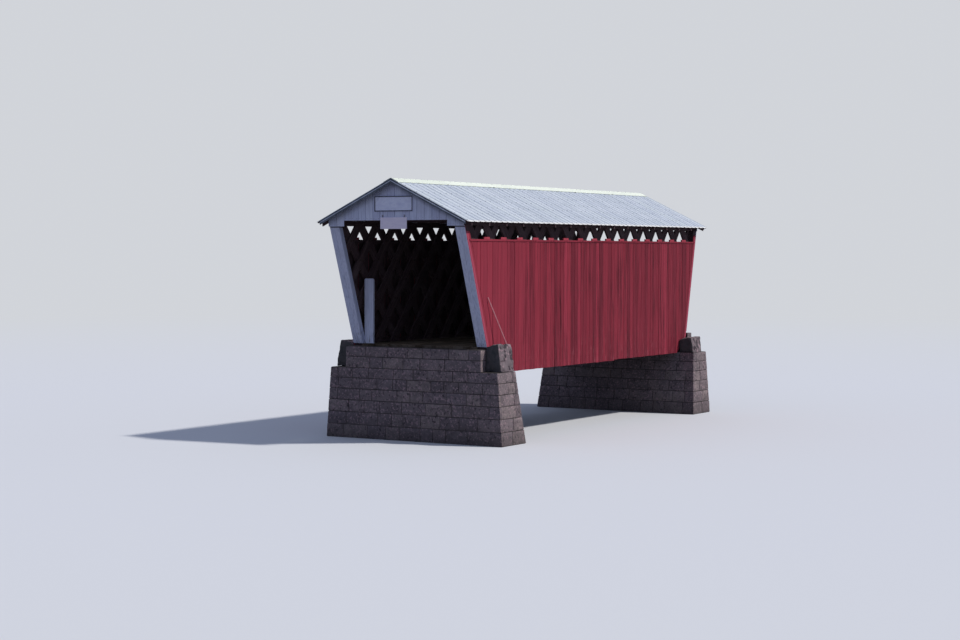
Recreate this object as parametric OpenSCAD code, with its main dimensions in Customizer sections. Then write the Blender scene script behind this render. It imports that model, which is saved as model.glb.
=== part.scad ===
// Covered bridge of one span: two plank lattice trusses, boarded sides, raked portals, metal roof.
// Origin: middle of the plan at the foot of the abutments. +Y runs along the bridge, +Z is up.

/* [Span] */
// Length of the side walls along the foot of the gables
side_l = 16340; // [12000:10:17500]
// How far the near end steps back between the foot of its gable and the deck
near_set = 1290; // [800:10:1400]
// How far the far end, which is steeper, steps back in the same height
far_set = 830; // [600:10:1400]
// Height of the deck above the foot of the abutments
deck_z = 3000; // [2400:10:3600]

/* [Side walls] */
// Width over the outsides of the boarded walls
wall_w = 5000; // [4600:10:5400]
// Thickness of the wall boards
siding_t = 25; // [20:1:32]
// Top of the boarded walls above the deck
siding_top = 3310; // [3000:10:3400]
// How far the wall boards reach below the deck
siding_drop = 820; // [780:10:860]
// Start of the sloping cut at each lower corner of the walls, below the deck
corner_top = 200; // [0:10:260]
// Length of the sloping cut at each lower corner of the walls
corner_cut = 850; // [700:10:1000]
// Top of the narrow end boards above the deck
end_board_top = 3550; // [3450:10:3650]
// Width of the narrow end boards
end_board_w = 200; // [120:10:260]
// Height of the rail along the top of the walls
rail_h = 60; // [40:5:90]
// Thickness of that rail
rail_t = 20; // [12:1:30]

/* [Trusses] */
// Thickness of each chord plank and lattice plank
plank_t = 65; // [55:1:68]
// Width of the lattice planks
plank_w = 290; // [240:5:320]
// Spacing of the lattice planks along the truss
lattice_pitch = 1000; // [900:10:1100]
// Distance of the first crossing under the roof from the foot of the near gable
lattice_first = 1310; // [1000:10:1600]
// Middle of the lower chord below the deck
chord_low_mid = 465; // [460:1:480]
// Depth of the lower chord
chord_low_h = 280; // [240:5:290]
// Rows of crossings between the two chords
lattice_rows = 7; // [6:1:8]
// Underside of the upper chord above the deck
chord_top_z = 3730; // [3690:5:3740]
// Depth of the upper chord's inner plank
chord_top_h = 150; // [130:5:160]
// Thickness of the raked end posts along the bridge
post_d = 200; // [150:10:260]
// Gap between the chord planks and the wall boards
nailer_gap = 50; // [40:5:60]
// Height of each nailing rail behind the wall boards
nailer_h = 100; // [80:5:120]
// How far the upper nailing rail lies below the top of the wall boards
nailer_drop = 20; // [10:5:40]
// Width of the blocks that stand up between the lattice planks
tab_w = 340; // [300:10:400]
// How far those blocks stand above the wall boards
tab_h = 70; // [50:5:110]

/* [Floor] */
// Thickness of the deck planks
deck_t = 75; // [60:5:80]
// Depth of the floor beams
beam_h = 250; // [200:5:260]
// Width of the floor beams
beam_w = 200; // [150:10:240]
// Number of floor beams
beam_count = 14; // [12:1:16]
// Distance of the end floor beams from the foot of the rake
beam_in = 400; // [360:10:450]
// Overhang of the deck past the foot of the rake
deck_nose = 50; // [20:5:80]
// Slack between the deck and the trusses at each side
deck_slack = 5; // [2:1:10]

/* [Roof] */
// Height of the ridge above the deck, without its cap
ridge_z = 5160; // [5000:10:5300]
// Height of the eaves above the deck
eave_z = 3840; // [3800:5:3860]
// Overhang of the roof past the walls at the sides
eave_out = 285; // [230:5:320]
// Overhang of the roof past the side walls at each end
end_out = 300; // [220:10:400]
// Thickness of the roof sheets with their laps
sheet_t = 8; // [6:1:12]
// Thickness of the roof laths
lath_t = 25; // [20:1:30]
// Width of the roof laths
lath_w = 100; // [80:5:120]
// Number of laths on each slope
lath_count = 7; // [5:1:9]
// Depth of the rafters
rafter_d = 90; // [80:5:100]
// Width of the rafters
rafter_w = 50; // [40:5:75]
// Number of rafter pairs
rafter_count = 17; // [14:1:20]
// Depth of the notch where a rafter seats on the upper chord
rafter_seat = 19; // [12:1:25]
// Distance of the last rafters from the back of the gables
rafter_inset = 5; // [2:1:20]
// Depth of the tie beams
tie_h = 170; // [150:5:190]
// Width of the tie beams
tie_w = 150; // [120:5:180]
// Number of tie beams
tie_count = 11; // [10:1:13]
// Distance of the end tie beams from the foot of the gables
tie_in = 100; // [80:10:200]
// Depth of the barge boards along the roof ends
barge_h = 120; // [90:5:140]
// Thickness of the barge boards
barge_t = 25; // [20:1:30]
// Width of each wing of the ridge cap
cap_w = 300; // [240:10:360]
// Thickness of the ridge cap
cap_t = 6; // [4:1:8]

/* [Portals] */
// How far the gables stand out past the top of the rake
gable_out = 60; // [50:5:100]
// Thickness of the gable boards
gable_t = 25; // [20:1:30]
// Foot of the gables above the deck
gable_foot = 3710; // [3680:5:3720]
// Top of the opening above the deck
opening_top = 3890; // [3850:5:3920]
// Width of the gable boards beside the opening
gable_leg_w = 595; // [500:5:650]
// Depth of the jamb's return into the bridge
return_d = 160; // [130:10:200]
// Thickness of the jamb boards
jamb_t = 25; // [20:1:30]

/* [Boards on the near portal] */
// Size of the upper board
board_size = [1405, 470]; // [400:5:1600]
// Middle of the upper board from the centre line and from the ridge
board_at = [-30, -765]; // [-800:5:200]
// Size of the hanging board
hang_size = [975, 355]; // [300:5:1100]
// Middle of the hanging board from the centre line and from the top of the opening
hang_at = [-30, -90]; // [-200:5:200]
// Thickness of both boards
board_t = 20; // [12:1:30]
// Width of the white plank that stands inside the left jamb
guard_w = 340; // [240:10:360]
// Thickness of that plank
guard_t = 75; // [50:5:80]
// Height of that plank
guard_h = 2070; // [1800:10:2300]
// How far that plank stands in from the foot of the rake
guard_in = 70; // [60:5:80]

/* [Abutments] */
// Reach of the seats and of the cheeks' feet past the wall boards
cheek_out = 590; // [480:10:690]
// Gap between the wall boards and the cheeks
cheek_gap = 20; // [15:1:40]
// Top of the cheeks at the near end, counted from the deck
near_cheek_top = 100; // [-200:5:150]
// Top of the cheeks at the far end, counted from the deck
far_cheek_top = -190; // [-250:5:150]
// Thickness of the abutment wall at its seat, with its back wall
wall_d = 1050; // [950:10:1200]
// Distance from the foot of the rake to the back of the abutment
wall_back = 400; // [360:10:450]
// Thickness of the back wall
back_t = 330; // [250:10:340]
// Length of the cheeks along the bridge
cheek_d = 780; // [700:10:900]
// Batter of the abutment's faces, outwards for each unit down
batter = 0.16; // [0.1:0.01:0.2]
// Height of the bed timber
bed_h = 150; // [120:5:180]
// Width of the bed timber along the bridge
bed_w = 300; // [250:10:330]
// Distance of the bed timber from the foot of the rake
bed_in = 180; // [150:10:200]

/* [Hidden] */

half_l = side_l / 2;
half_w = wall_w / 2;

// Faces of the wall and truss layers, counted from the centre line
siding_in = half_w - siding_t;
chord_out = siding_in - nailer_gap;
lattice_out = chord_out - plank_t;
lattice_mid = lattice_out - plank_t;
lattice_in = lattice_mid - plank_t;
chord_in = lattice_in - plank_t;
jamb_in = chord_in - jamb_t;

// Roof slope and the heights of its layers, measured plumb
eave_x = half_w + eave_out;
roof_slope = (ridge_z - eave_z) / eave_x;
roof_angle = atan(roof_slope);
sheet_v = sheet_t / cos(roof_angle);
lath_v = sheet_v + lath_t / cos(roof_angle);
rafter_v = lath_v + rafter_d / cos(roof_angle);
roof_half_l = half_l + end_out;
slope_l = eave_x / cos(roof_angle);

// Floor and truss heights, from the deck's top
beam_top = -deck_t;
chord_low_top = -chord_low_mid + chord_low_h / 2;
chord_low_foot = -chord_low_mid - chord_low_h / 2;
plate_top = roof_z(chord_out) - rafter_v + rafter_seat;
tie_foot = chord_top_z + chord_top_h;
row_h = (plate_top + chord_low_mid) / lattice_rows;
lattice_slope = row_h / (lattice_pitch / 2);
plank_run = plank_w / sin(atan(lattice_slope));
first_cross = lattice_first - half_l;
tie_first = half_l - tie_in;

// Heights and half widths of the abutments
seat_z = chord_low_foot - bed_h;
seat_h = deck_z + seat_z;
cheek_in_x = half_w + cheek_gap;
seat_x = half_w + cheek_out;
foot_x = seat_x + batter * seat_h / 2;

function roof_z(x) = ridge_z - abs(x) * roof_slope;

// Distance of a raked end's face from the middle of the span at a height above the deck
function rake_y(z, set) = half_l - set * (1 - z / gable_foot);
function near_y(z) = rake_y(z, near_set);
function far_y(z) = rake_y(z, far_set);

// Distance of an abutment's face on the span's side from the middle of the span, at its seat
function seat_y(set) = rake_y(0, set) + wall_back - wall_d;

// Rake of a board from z0 to z1, from in_a to in_b behind the rake's face
function rake_strip(z0, z1, in_a, in_b, set) = [
    [-rake_y(z0, set) + in_a, z0], [-rake_y(z0, set) + in_b, z0],
    [-rake_y(z1, set) + in_b, z1], [-rake_y(z1, set) + in_a, z1]
];

// Outline between the two rakes from z0 to z1, set back by inset at each end
function between_rakes(z0, z1, inset) = [
    [-near_y(z0) + inset, z0], [far_y(z0) - inset, z0],
    [far_y(z1) - inset, z1], [-near_y(z1) + inset, z1]
];

// Outline of one raked end of a boarded wall, from its lower corner up to the top of the wall
function wall_end(set) = [
    [rake_y(0, set) - corner_cut, -siding_drop], [rake_y(-corner_top, set), -corner_top],
    [rake_y(end_board_top, set), end_board_top], [rake_y(end_board_top, set) - end_board_w, end_board_top],
    [rake_y(siding_top, set) - end_board_w, siding_top]
];

module from_deck() translate([0, 0, deck_z]) children();
module left_side() mirror([1, 0, 0]) children();
module far_end() mirror([0, 1, 0]) children();

// Plate with an outline in Y and Z, from x0 over the thickness t
module plate_yz(x0, t, outline)
    translate([x0, 0, 0]) rotate([90, 0, 90]) linear_extrude(t) polygon(outline);

// Plate with an outline in X and Z, from y0 over the thickness t
module plate_xz(y0, t, outline)
    translate([0, y0 + t, 0]) rotate([90, 0, 0]) linear_extrude(t) polygon(outline);

// Battered wall with a seat for the trusses, and a back wall behind the seat up to the deck
module abutment(set) color("dimgray") {
    back_y = rake_y(0, set) + wall_back;
    face_y = seat_y(set);
    intersection() {
        plate_yz(-foot_x, 2 * foot_x, [
            [-back_y, 0], [-face_y + batter * seat_h, 0], [-face_y, seat_h], [-back_y + back_t, seat_h],
            [-back_y + back_t, deck_z - deck_t], [-back_y, deck_z - deck_t]
        ]);
        plate_xz(-back_y, back_y, [
            [-foot_x, 0], [foot_x, 0], [seat_x, seat_h], [half_w, seat_h], [half_w, deck_z],
            [-half_w, deck_z], [-half_w, seat_h], [-seat_x, seat_h]
        ]);
    }
}

// Stone cheek that stands on the seat beside the boarded wall, up to a top counted from the deck
module cheek(set, top) color("gray") from_deck()
    plate_xz(-seat_y(set) - cheek_d, cheek_d, [
        [cheek_in_x, seat_z], [seat_x, seat_z],
        [seat_x - batter * (top - seat_z), top], [cheek_in_x, top]
    ]);

module bed_timber(set) color("saddlebrown")
    from_deck() translate([-chord_out, -rake_y(0, set) + bed_in, seat_z])
        cube([2 * chord_out, bed_w, bed_h]);

module lower_chord() color("sienna") from_deck()
    for (x = [chord_in, lattice_out])
        plate_yz(x, plank_t, between_rakes(chord_low_foot, chord_low_top, post_d));

module upper_chord() color("sienna") from_deck() {
    length = 2 * (half_l + gable_out);
    translate([chord_in, -length / 2, chord_top_z]) cube([plank_t, length, chord_top_h]);
    translate([lattice_out, -length / 2, chord_top_z])
        cube([plank_t, length, plate_top - chord_top_z]);
}

// One layer of parallel lattice planks, leaning one way
module lattice(x0, lean) color("peru") from_deck()
    intersection() {
        plate_yz(x0, plank_t, between_rakes(chord_low_foot, plate_top, post_d));
        for (k = [-lattice_rows : ceil(side_l / lattice_pitch) + lattice_rows]) {
            y = first_cross + k * lattice_pitch;
            rise = plate_top - chord_low_foot;
            run = lean * rise / lattice_slope;
            plate_yz(x0, plank_t, [
                [y - plank_run / 2, plate_top], [y + plank_run / 2, plate_top],
                [y + plank_run / 2 + run, chord_low_foot], [y - plank_run / 2 + run, chord_low_foot]
            ]);
        }
    }

module post(set) color("sienna") from_deck()
    plate_yz(chord_in, siding_in - chord_in, rake_strip(chord_low_foot, chord_top_z, 0, post_d, set));

module floor_beams() color("saddlebrown") from_deck() {
    first = beam_in - near_y(0);
    last = far_y(0) - beam_in;
    for (k = [0 : beam_count - 1]) {
        y = first + k * (last - first) / (beam_count - 1);
        translate([-lattice_in, y - beam_w / 2, chord_low_top])
            cube([2 * lattice_in, beam_w, beam_top - chord_low_top]);
    }
}

module deck() color("burlywood") from_deck()
    translate([-chord_in + deck_slack, -near_y(0) - deck_nose, beam_top])
        cube([2 * (chord_in - deck_slack), near_y(0) + far_y(0) + 2 * deck_nose, deck_t]);

module tie_beams() color("sienna") from_deck()
    for (k = [0 : tie_count - 1]) {
        y = -tie_first + k * 2 * tie_first / (tie_count - 1);
        under = roof_z(lattice_in) - rafter_v;
        corner_x = (ridge_z - rafter_v - tie_foot - tie_h) / roof_slope;
        plate_xz(y - tie_w / 2, tie_w, [
            [-lattice_in, tie_foot], [lattice_in, tie_foot], [lattice_in, under],
            [corner_x, tie_foot + tie_h], [-corner_x, tie_foot + tie_h], [-lattice_in, under]
        ]);
    }

// Outline in X and Z of a roof layer between two plumb depths, from the ridge to x1
function roof_layer(depth_a, depth_b, x1) = [
    [0, ridge_z - depth_a], [x1, roof_z(x1) - depth_a],
    [x1, roof_z(x1) - depth_b], [0, ridge_z - depth_b]
];

module rafters() color("sienna") from_deck()
    for (k = [0 : rafter_count - 1]) {
        last = half_l + gable_out - rafter_inset - rafter_w / 2;
        y = -last + k * 2 * last / (rafter_count - 1);
        difference() {
            plate_xz(y - rafter_w / 2, rafter_w, roof_layer(lath_v, rafter_v, eave_x - lath_t));
            translate([lattice_out, y - rafter_w, chord_top_z])
                cube([plank_t, 2 * rafter_w, plate_top - chord_top_z]);
        }
    }

module laths() color("tan") from_deck() {
    length = 2 * (roof_half_l - barge_t);
    step = (slope_l - lath_w) / (lath_count - 1);
    for (k = [0 : lath_count - 1]) {
        x0 = k * step * cos(roof_angle);
        x1 = x0 + lath_w * cos(roof_angle);
        plate_xz(-length / 2, length, [
            [x0, roof_z(x0) - sheet_v], [x1, roof_z(x1) - sheet_v],
            [x1, roof_z(x1) - lath_v], [x0, roof_z(x0) - lath_v]
        ]);
    }
    for (y = [-roof_half_l, roof_half_l - barge_t])
        plate_xz(y, barge_t, roof_layer(sheet_v, sheet_v + barge_h, eave_x));
}

module roof() color("lightsteelblue") from_deck()
    plate_xz(-roof_half_l, 2 * roof_half_l, roof_layer(0, sheet_v, eave_x));

module ridge_cap() color("lightgray") from_deck() {
    run = cap_w * cos(roof_angle);
    rise = cap_t / cos(roof_angle);
    plate_xz(-roof_half_l, 2 * roof_half_l, [
        [-run, roof_z(run)], [0, ridge_z], [run, roof_z(run)],
        [run, roof_z(run) + rise], [0, ridge_z + rise], [-run, roof_z(run) + rise]
    ]);
}

module siding() color("firebrick") from_deck() {
    near_end = wall_end(near_set);
    last = len(near_end) - 1;
    plate_yz(siding_in, siding_t, concat(
        wall_end(far_set),
        [for (k = [last : -1 : 0]) [-near_end[k][0], near_end[k][1]]]
    ));
}

// Nailing rails that fill the space between the lattice and the wall boards
module nailers() color("brown") from_deck() {
    top = siding_top - nailer_drop;
    rail_gap = (top - nailer_h) / 2;
    for (k = [0 : 2]) {
        z = k * rail_gap;
        plate_yz(lattice_out, siding_in - lattice_out, between_rakes(z, z + nailer_h, post_d));
    }
    plate_yz(chord_out, nailer_gap, between_rakes(chord_low_foot, chord_low_foot + nailer_h, corner_cut));
    for (k = [0 : ceil(side_l / lattice_pitch)]) {
        y = first_cross + k * lattice_pitch;
        clear = end_board_w + tab_w;
        if (y > clear - near_y(siding_top) && y < far_y(siding_top) - clear)
            translate([chord_out, y - tab_w / 2, top])
                cube([nailer_gap, tab_w, siding_top + tab_h - top]);
    }
}

module top_rail() color("indianred") from_deck()
    plate_yz(half_w, rail_t, between_rakes(siding_top - rail_h, siding_top, end_board_w / 2));

module gable() color("whitesmoke") from_deck() {
    leg_x = half_w - gable_leg_w;
    plate_xz(-half_l - gable_out - gable_t, gable_t, [
        [-half_w, gable_foot], [-leg_x, gable_foot], [-leg_x, opening_top],
        [leg_x, opening_top], [leg_x, gable_foot], [half_w, gable_foot],
        [half_w, roof_z(half_w) - lath_v], [0, ridge_z - lath_v], [-half_w, roof_z(half_w) - lath_v]
    ]);
}

// Raked front board with its return into the bridge, on the right of the near portal
module jamb(set) color("white") from_deck() {
    plate_yz(jamb_in, half_w - jamb_in, rake_strip(0, chord_top_z, -jamb_t, 0, set));
    plate_yz(jamb_in, jamb_t, rake_strip(0, chord_top_z, -jamb_t, return_d, set));
}

// Board on the face of the gable, with its middle at a place across and above the deck
module portal_board(size, at)
    translate([at[0] - size[0] / 2, -half_l - gable_out - gable_t - board_t, at[1] - size[1] / 2])
        cube([size[0], board_t, size[1]]);

module upper_board() color("white") from_deck() portal_board(board_size, board_at + [0, ridge_z]);
module hanging_board() color("mistyrose") from_deck() portal_board(hang_size, hang_at + [0, opening_top]);

module guard_plank() color("white") from_deck()
    translate([-jamb_in, -near_y(0) + guard_in, 0]) cube([guard_w, guard_t, guard_h]);

abutment(near_set);  // near_abutment
far_end() abutment(far_set);  // far_abutment
cheek(near_set, near_cheek_top);  // near_right_cheek
left_side() cheek(near_set, near_cheek_top);  // near_left_cheek
far_end() cheek(far_set, far_cheek_top);  // far_right_cheek
far_end() left_side() cheek(far_set, far_cheek_top);  // far_left_cheek
bed_timber(near_set);  // near_bed_timber
far_end() bed_timber(far_set);  // far_bed_timber
lower_chord();  // right_lower_chord
left_side() lower_chord();  // left_lower_chord
upper_chord();  // right_upper_chord
left_side() upper_chord();  // left_upper_chord
lattice(lattice_mid, 1);  // right_lattice_outer
lattice(lattice_in, -1);  // right_lattice_inner
left_side() lattice(lattice_mid, 1);  // left_lattice_outer
left_side() lattice(lattice_in, -1);  // left_lattice_inner
post(near_set);  // near_right_post
left_side() post(near_set);  // near_left_post
far_end() post(far_set);  // far_right_post
far_end() left_side() post(far_set);  // far_left_post
floor_beams();
deck();
tie_beams();
rafters();  // right_rafters
left_side() rafters();  // left_rafters
laths();  // right_laths
left_side() laths();  // left_laths
roof();  // right_roof
left_side() roof();  // left_roof
ridge_cap();
siding();  // right_siding
left_side() siding();  // left_siding
nailers();  // right_nailers
left_side() nailers();  // left_nailers
top_rail();  // right_top_rail
left_side() top_rail();  // left_top_rail
gable();  // near_gable
far_end() gable();  // far_gable
jamb(near_set);  // near_right_jamb
left_side() jamb(near_set);  // near_left_jamb
far_end() jamb(far_set);  // far_right_jamb
far_end() left_side() jamb(far_set);  // far_left_jamb
upper_board();
hanging_board();
guard_plank();
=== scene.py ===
import math
import random

import bpy
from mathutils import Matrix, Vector


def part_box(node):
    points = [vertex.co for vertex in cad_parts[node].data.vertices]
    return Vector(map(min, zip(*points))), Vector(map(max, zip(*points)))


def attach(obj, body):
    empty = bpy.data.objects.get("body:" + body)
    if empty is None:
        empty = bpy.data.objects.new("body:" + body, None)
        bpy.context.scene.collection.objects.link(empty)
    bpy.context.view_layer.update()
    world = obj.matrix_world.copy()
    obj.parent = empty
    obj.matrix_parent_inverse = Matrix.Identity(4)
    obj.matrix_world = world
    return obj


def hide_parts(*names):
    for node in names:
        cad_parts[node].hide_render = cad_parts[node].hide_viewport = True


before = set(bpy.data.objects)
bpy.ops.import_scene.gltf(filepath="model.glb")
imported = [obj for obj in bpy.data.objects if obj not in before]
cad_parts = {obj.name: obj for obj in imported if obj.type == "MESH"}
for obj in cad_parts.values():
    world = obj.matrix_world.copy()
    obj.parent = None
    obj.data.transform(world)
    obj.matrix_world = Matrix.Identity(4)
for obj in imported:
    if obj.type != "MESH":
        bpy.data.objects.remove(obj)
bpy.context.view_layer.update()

# Abutment stones
# Each end of the bridge stands on a wall of squared grey stones, laid in courses in lime mortar.
# The CAD wall is the mortar; the stones stand a finger's width proud of it, and lean back on
# the side of the span and at the ends.
seat_course_heights = (0.43, 0.40, 0.38, 0.36, 0.345, 0.33)
back_course_heights = (0.355, 0.325)
back_wall_depth = 0.32
stone_lengths = (0.42, 0.98)
stone_depth = 0.12
stone_proud = 0.014
mortar_joint = 0.024
stone_edge = 0.018
stone_hollows = 0.018
quarter_turn = math.pi / 2


def pick(*things):
    bpy.ops.object.select_all(action="DESELECT")
    for thing in things:
        thing.select_set(True)
    bpy.context.view_layer.objects.active = things[0]


def set_down(thing):
    """Moves the thing's place, turn and size into its mesh."""
    pick(thing)
    bpy.ops.object.transform_apply(location=True, rotation=True, scale=True)


def another(pattern, place=None, size=None):
    """A copy with a mesh of its own, and a place and size of its own where they are given."""
    twin = pattern.copy()
    twin.data = pattern.data.copy()
    bpy.context.collection.objects.link(twin)
    twin.location = place or pattern.location
    twin.scale = size or pattern.scale
    return twin


def gather(things, name):
    """Joins the things into one named mesh that sits at the origin."""
    pick(*things)
    bpy.ops.object.join()
    whole = bpy.context.object
    whole.name = name
    set_down(whole)
    return whole


def turned_copy(thing, name, y=0):
    """A copy for the far end of the bridge: turned half round and moved along Y."""
    twin = another(thing, (0, y, 0))
    twin.name = name
    twin.rotation_euler.z = math.pi
    set_down(twin)
    return twin


def scrap(*things):
    pick(*things)
    bpy.ops.object.delete()


def block(size, middle):
    """A square block, added at its size and place, that later cuts and bevels shape."""
    bpy.ops.mesh.primitive_cube_add(size=1, location=middle)
    blank = bpy.context.object
    blank.scale = size
    set_down(blank)
    return blank


def open_mesh(thing, action="SELECT"):
    """Opens a thing in edit mode with all of its mesh selected, or none of it."""
    pick(thing)
    bpy.ops.object.mode_set(mode="EDIT")
    bpy.ops.mesh.select_all(action=action)


def close_mesh():
    bpy.ops.object.mode_set(mode="OBJECT")


def saw(thing, point, towards):
    """Cuts off what lies past a plane, on the side that it faces, and closes the cut."""
    open_mesh(thing)
    bpy.ops.mesh.bisect(plane_co=point, plane_no=towards, use_fill=True, clear_outer=True)
    close_mesh()


def subdivide(thing, cuts):
    open_mesh(thing)
    bpy.ops.mesh.subdivide(number_cuts=cuts)
    close_mesh()


def work(thing, kind, **settings):
    """Shapes a thing with one modifier, and applies it."""
    pick(thing)
    tool = thing.modifiers.new("work", kind)
    for name, value in settings.items():
        setattr(tool, name, value)
    bpy.ops.object.modifier_apply(modifier=tool.name)


def ease_edges(thing, width, rounds=1):
    """Takes the sharp edges off."""
    work(thing, "BEVEL", width=width, segments=rounds, limit_method="ANGLE")


def roughen(thing, depth, size, way="NORMAL"):
    """Pushes the surface in and out by a cloud of hollows of one size."""
    clouds = bpy.data.textures.new("hollows", "CLOUDS")
    clouds.noise_scale = size
    work(thing, "DISPLACE", texture=clouds, strength=depth, direction=way)


def smooth(thing, degrees):
    """Shades a thing smooth, apart from edges that turn by more than an angle."""
    pick(thing)
    bpy.ops.object.shade_smooth_by_angle(angle=math.radians(degrees))


def tint(red, green, blue):
    """A colour as it looks on a screen, turned into the light that a material gives back."""
    light = [((c / 255 + 0.055) / 1.055) ** 2.4 for c in (red, green, blue)]
    return (*light, 1.0)


def shader(material):
    return material.node_tree.nodes["Principled BSDF"]


def feed(material, source, socket):
    """Links a value or a colour to a socket, or writes it there if it is plain."""
    if isinstance(source, bpy.types.NodeSocket):
        material.node_tree.links.new(source, socket)
    else:
        socket.default_value = source


def node(material, kind, **inputs):
    """A new step of a material, its inputs named with _ for a space."""
    step = material.node_tree.nodes.new("ShaderNode" + kind)
    for name, source in inputs.items():
        feed(material, source, step.inputs[name.replace("_", " ")])
    return step


def finish(name, roughness, metal=0.0, gloss=0.2):
    material = bpy.data.materials.new(name)
    material.use_nodes = True
    surface = shader(material).inputs
    surface["Roughness"].default_value = roughness
    surface["Metallic"].default_value = metal
    surface["Specular IOR Level"].default_value = gloss
    return material


def mottle(material, size, detail=4.0, turn=(0, 0, 0), warp=0.0):
    """Cloudy noise with patches of a size in metres, one or along X, Y and Z, turned by an angle."""
    sizes = size if isinstance(size, tuple) else (size, size, size)
    place = node(material, "TexCoord").outputs["Object"]
    steps = node(material, "Mapping", Vector=place, Rotation=turn, Scale=sizes)
    steps.vector_type = "TEXTURE"
    spot = steps.outputs["Vector"]
    clouds = node(material, "TexNoise", Vector=spot, Scale=1.0, Detail=detail, Distortion=warp)
    return clouds.outputs["Fac"]


def each_piece(material):
    """A number that differs from one loose stone, board or sheet to the next."""
    return node(material, "NewGeometry").outputs["Random Per Island"]


def shades(material, amount, *steps):
    """Turns an amount into colours, each given as the amount where it holds, red, green, blue."""
    ramp = node(material, "ValToRGB", Fac=amount)
    stops = ramp.color_ramp.elements
    stops[0].position = steps[0][0]
    stops[1].position = steps[-1][0]
    for step in steps[1:-1]:
        stops.new(step[0])
    for stop, step in zip(stops, steps):
        stop.color = tint(*step[1:])
    return ramp.outputs["Color"]


def part_of(material, amount, low, high, floor=0.0, top=1.0):
    """How far an amount has come from low to high, as a number from floor to top."""
    scale = node(
        material, "MapRange", Value=amount, From_Min=low, From_Max=high, To_Min=floor, To_Max=top)
    return scale.outputs["Result"]


def patches(material, size, low, high, floor=0.0, top=1.0, detail=4.0, warp=0.0):
    """Cloudy patches of a size: part_of, for the noise of mottle."""
    return part_of(material, mottle(material, size, detail, warp=warp), low, high, floor, top)


def coat(material, amount, under, over, way="MIX"):
    """Mixes one colour over another by an amount."""
    mix = node(material, "Mix")
    mix.data_type = "RGBA"
    mix.blend_type = way
    feed(material, amount, mix.inputs[0])
    feed(material, under, mix.inputs[6])
    feed(material, over, mix.inputs[7])
    return mix.outputs[2]


def colour(material, source):
    feed(material, source, shader(material).inputs["Base Color"])


def lay_over(material, amount, over, way="MIX"):
    """Lays one more colour over those that a material already has, by an amount."""
    under = shader(material).inputs["Base Color"].links[0].from_socket
    colour(material, coat(material, amount, under, over, way))


def axis_place(material, axis, what="Object"):
    """How far along X, Y or Z a point of the piece lies in metres, or its face looks (Normal)."""
    place = node(material, "TexCoord").outputs[what]
    return node(material, "SeparateXYZ", Vector=place).outputs[axis]


def relief(material, depth, *heights):
    """Adds fine relief from one or more patterns, each of that depth in metres."""
    below = None
    for height in heights:
        bump = node(material, "Bump", Strength=0.8, Distance=depth, Height=height)
        if below:
            feed(material, below, bump.inputs["Normal"])
        below = bump.outputs["Normal"]
    feed(material, below, shader(material).inputs["Normal"])


def cloudy(name, surface, clouds, grain, depth, *steps):
    """A finish with a colour that changes in clouds, over a relief of grain of a depth in metres."""
    material = finish(name, *surface)
    colour(material, shades(material, mottle(material, *clouds), *steps))
    relief(material, depth, mottle(material, *grain))
    return material


def fit(piece, slot, material, *nodes):
    """Fixes a finished piece to the bridge, in place of the CAD nodes that it stands for."""
    piece.data.materials.clear()
    piece.data.materials.append(material)
    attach(piece, "root")
    if nodes:
        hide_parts(*nodes)


def paint_nodes(material, *names):
    """Gives CAD nodes whose shape is right their finish."""
    for name in names:
        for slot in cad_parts[name].material_slots:
            slot.material = material


def quarried(name, grain, strong, pitted):
    """Grey stone with pink and dark grains of a size in metres."""
    rock = finish(name, 0.92)
    colour(rock, shades(
        rock, each_piece(rock), (0.0, 108, 98, 102), (0.3, 132, 119, 121), (0.55, 118, 107, 112),
        (0.8, 142, 129, 127), (1.0, 124, 113, 118)))
    lay_over(rock, patches(rock, (0.3, 0.3, 0.22), 0.35, 0.7, 0.0, 0.7), tint(90, 82, 86))
    lay_over(rock, patches(rock, grain, 0.54, 0.66, 0.0, strong, 3.0), tint(168, 142, 148))
    flecks = (1.2 * grain, 1.2 * grain, 1.5 * grain)
    lay_over(rock, patches(rock, flecks, pitted, pitted + 0.1, 0.0, strong), tint(52, 46, 52))
    relief(rock, 0.006, mottle(rock, (0.07, 0.07, 0.06), 6.0), mottle(rock, 0.012, 3.0))
    return rock


stone = quarried("quarried grey stone", 0.06, 0.75, 0.58)
damp_foot = part_of(stone, axis_place(stone, "Z"), 0.0, 0.7, 0.55, 0.0)
lay_over(stone, damp_foot, tint(66, 62, 60))
mortar = cloudy(
    "lime mortar", (0.95,), ((0.4, 0.4, 0.3),), (0.03, 5.0), 0.004,
    (0.3, 62, 58, 58), (0.5, 78, 73, 72), (0.7, 96, 90, 87))
paint_nodes(mortar, "near_abutment", "far_abutment")

wall_low, wall_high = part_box("near_abutment")
cheek_low, cheek_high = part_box("near_right_cheek")
seat_z = cheek_low.z
half_foot = wall_high.x
half_seat = cheek_high.x
half_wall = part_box("right_siding")[1].x
span_foot_y = wall_high.y
span_top_y = cheek_high.y
outer_y = wall_low.y
rough_stone = block((1, 1, 1), (0, 0, 0))
subdivide(rough_stone, 2)


def lay_courses(heights, foot, top, chance):
    """Stones that stand on the X axis and face -Y, between a left and a right end that may slope."""
    stones = []
    level = 0.0
    for height in heights:
        x = min(foot[0], top[0]) - mortar_joint
        right = max(foot[1], top[1]) + mortar_joint
        while x < right:
            length = chance.uniform(*stone_lengths)
            if right - x - length < stone_lengths[0]:
                length = right - x
            size = (length - mortar_joint, stone_depth, height - mortar_joint)
            out = stone_proud * chance.uniform(0.6, 1.5)
            middle = (x + length / 2, stone_depth / 2 - out, level + height / 2)
            stones.append(another(rough_stone, middle, size))
            x += length
        level += height
    wall = gather(stones, "courses")
    for end, side in enumerate((-1, 1)):
        slope = (top[end] - foot[end]) / level
        saw(wall, (foot[end], 0, 0), (side, 0, -side * slope))
    return wall


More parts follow.
